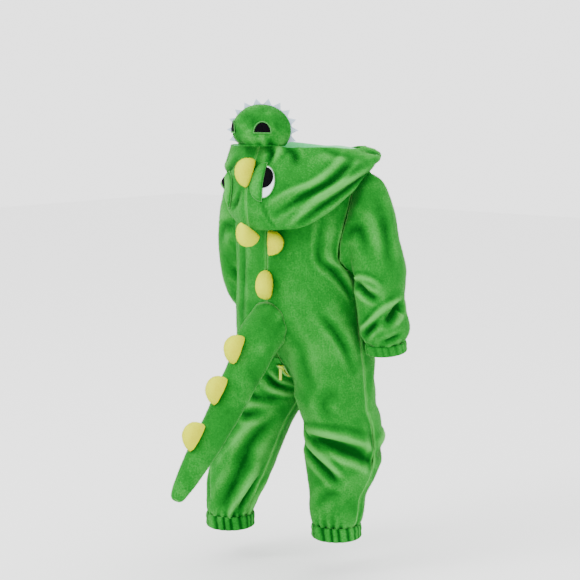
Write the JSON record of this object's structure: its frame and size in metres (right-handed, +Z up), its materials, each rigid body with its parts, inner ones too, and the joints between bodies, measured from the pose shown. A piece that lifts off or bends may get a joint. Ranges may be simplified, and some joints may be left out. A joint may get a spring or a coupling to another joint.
{
  "type": "child's dinosaur costume",
  "caption": "Hooded green plush one-piece with a stuffed spiked tail, padded muzzle and felt teeth on the hood, and a short zip under the tail, in its worn shape",
  "frame": {"origin": "the centre of the neck on the shoulder line, where the garment hangs on its wearer", "axes": "+Z up along the body, +Y towards the front of the garment, +X to its right-hand side"},
  "size_m": [0.377, 0.4514, 0.6996],
  "materials": {
    "green_plush": "short plush with a soft sheen",
    "yellow_plush": "short plush",
    "mint_lining": "brushed knit",
    "white_felt": "felt",
    "black_patch": "close-cropped felt",
    "lime_plastic": "moulded",
    "stud_plastic": "moulded"
  },
  "bodies": {
    "garment": {"back_right": "green_plush", "back_left": "green_plush", "front_right": "green_plush", "front_left": "green_plush", "sleeve_right": "green_plush", "sleeve_left": "green_plush", "sleeve_cuff_right": "green_plush", "sleeve_cuff_left": "green_plush", "leg_cuff_right": "green_plush", "leg_cuff_left": "green_plush", "hood_right": "green_plush", "hood_left": "green_plush", "muzzle_top": "green_plush", "eyelid_right": "green_plush", "eyelid_left": "green_plush", "tail_right": "green_plush", "tail_left": "green_plush", "front_placket": "green_plush", "zip_patch": "green_plush", "hood_spike_upper": "yellow_plush", "hood_spike_lower": "yellow_plush", "back_spike_upper": "yellow_plush", "back_spike_lower": "yellow_plush", "tail_spike_1": "yellow_plush", "tail_spike_2": "yellow_plush", "tail_spike_3": "yellow_plush", "hood_lining_neck": "mint_lining", "hood_lining_face": "mint_lining", "muzzle_under": "mint_lining", "muzzle_teeth": "white_felt", "eye_white_right": "white_felt", "eye_white_left": "white_felt", "nostril_right": "black_patch", "nostril_left": "black_patch", "eye_pupil_right": "black_patch", "eye_pupil_left": "black_patch", "zip_tape_right": "lime_plastic", "zip_tape_left": "lime_plastic", "zip_slider": "lime_plastic", "press_stud_1": "stud_plastic", "press_stud_2": "stud_plastic", "press_stud_3": "stud_plastic", "press_stud_4": "stud_plastic", "press_stud_5": "stud_plastic"},
    "pull_tab": {"zip_pull": "lime_plastic"}
  },
  "joints": [
    {"name": "pull_swing", "type": "hinge", "parent": "garment", "child": "pull_tab", "pos_m": [0.00004, -0.05792, -0.33583], "axis": [-1, 0, 0], "range_deg": [0, 75]}
  ]
}
